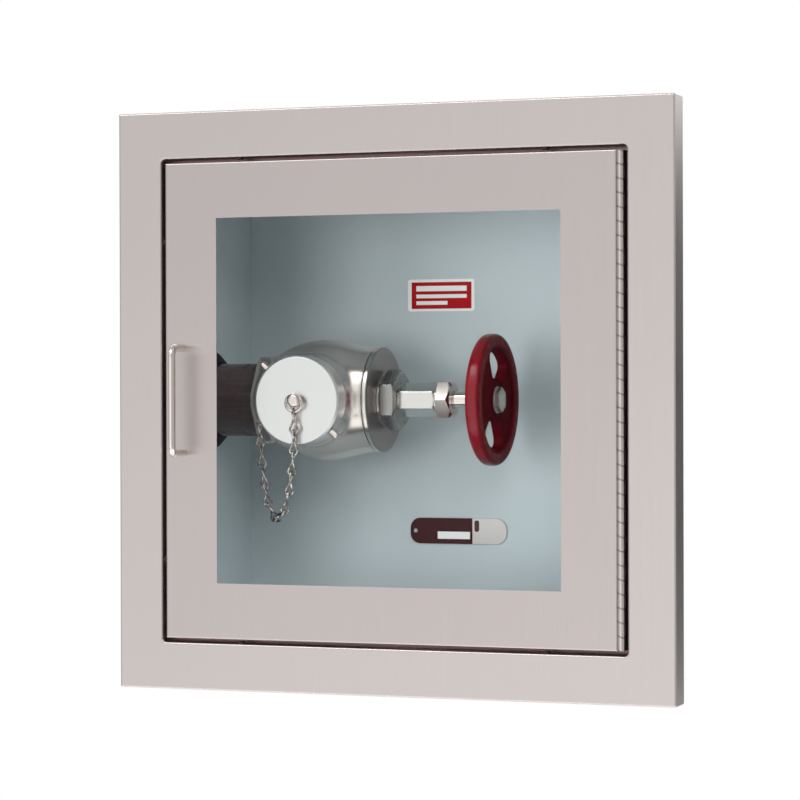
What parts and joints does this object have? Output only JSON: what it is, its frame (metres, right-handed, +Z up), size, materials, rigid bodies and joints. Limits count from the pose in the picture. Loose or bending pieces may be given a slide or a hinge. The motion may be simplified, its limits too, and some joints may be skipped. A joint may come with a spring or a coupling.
{
  "type": "landing valve cabinet",
  "caption": "Semi-recessed landing valve cabinet with a glazed hinged door, a piped angle hose valve with handwheel, and a chained outlet cap.",
  "frame": {"origin": "centre of the tub's flat rear face", "axes": "+X to the right seen from the front, +Y into the wall, +Z up"},
  "size_m": [0.5588, 0.254, 0.5588],
  "materials": {
    "tub_paint": "pale grey baked enamel",
    "satin_steel": "satin stainless",
    "mill_steel": "plain steel",
    "pane": "clear",
    "black_rubber": "matt",
    "catch_case": "moulded",
    "black_pipe": "black finished steel",
    "polished": "polished chrome",
    "bare_brass": "turned",
    "wheel_red": "dark red enamel",
    "label_print": "printed field, no words",
    "tag_red": "dark red",
    "tag_white": "white",
    "tag_metal": "satin"
  },
  "bodies": {
    "cabinet": {"tub": "tub_paint", "trim_frame": "satin_steel", "jamb_screws": "mill_steel", "hinge_frame_leaf": "mill_steel", "hinge_pin": "mill_steel", "hinge_strip": "mill_steel", "hinge_frame_rivets": "mill_steel", "catch_magnet": "catch_case", "door_bumpers": "black_rubber", "supply_pipe": "black_pipe", "pipe_grommet": "black_rubber", "valve_body": "polished", "bonnet": "polished", "bonnet_gasket": "black_rubber", "packing_rings": "black_rubber", "packing_gland": "bare_brass", "packing_nut": "polished", "wall_label": "label_print", "tag_body": "tag_red", "tag_end_plate": "tag_metal", "tag_strip": "tag_white"},
    "door": {"door_panel": "satin_steel", "glazing_pane": "pane", "glazing_gasket": "black_rubber", "glazing_retainer_top": "mill_steel", "glazing_retainer_bottom": "mill_steel", "glazing_retainer_left": "mill_steel", "glazing_retainer_right": "mill_steel", "retainer_nuts": "mill_steel", "pull_handle": "polished", "pull_screws": "mill_steel", "hinge_door_leaf": "mill_steel", "hinge_door_rivets": "mill_steel", "strike_plate": "mill_steel"},
    "disc": {"disc_holder": "bare_brass", "disc_retainer": "bare_brass", "rubber_disc": "black_rubber", "disc_screw": "mill_steel"},
    "stem": {"valve_stem": "bare_brass", "handwheel": "wheel_red", "wheel_washer": "mill_steel", "wheel_nut": "mill_steel"},
    "cap_swivel": {"cap_eye": "polished", "eye_nut": "mill_steel", "chain_right": "polished"},
    "cap": {"outlet_cap": "polished", "cap_gasket": "black_rubber", "cap_lugs": "polished"},
    "chain_tail": {"chain_left": "polished"}
  },
  "joints": [
    {"name": "door_swing", "type": "hinge", "parent": "cabinet", "child": "door", "pos_m": [0.2277, -0.2224, 0], "axis": [0, 0, 1], "range_deg": [0, 165]},
    {"name": "disc_lift", "type": "slide", "parent": "cabinet", "child": "disc", "axis": [1, 0, 0], "range_m": [0, 0.02251]},
    {"name": "wheel_turn", "type": "hinge", "parent": "disc", "child": "stem", "pos_m": [0.062, -0.097, 0], "axis": [1, 0, 0], "range_deg": [0, 1620]},
    {"name": "cap_out", "type": "slide", "parent": "cabinet", "child": "cap_swivel", "axis": [0, -1, 0], "range_m": [0, 0.01186]},
    {"name": "cap_turn", "type": "hinge", "parent": "cap_swivel", "child": "cap", "pos_m": [-0.11, -0.182, 0], "axis": [0, -1, 0], "range_deg": [0, 1260]},
    {"name": "chain_swing", "type": "hinge", "parent": "cabinet", "child": "chain_tail", "pos_m": [-0.167, -0.13978, -0.0247], "axis": [-1, 0, 0], "range_deg": [0, 11.2]}
  ],
  "couplings": [
    {"joint": "disc_lift", "follows": "wheel_turn", "m_per_rad": 0.00079577},
    {"joint": "cap_out", "follows": "cap_turn", "m_per_rad": 0.000539},
    {"joint": "chain_swing", "follows": "cap_turn", "ratio": 0.008881}
  ]
}
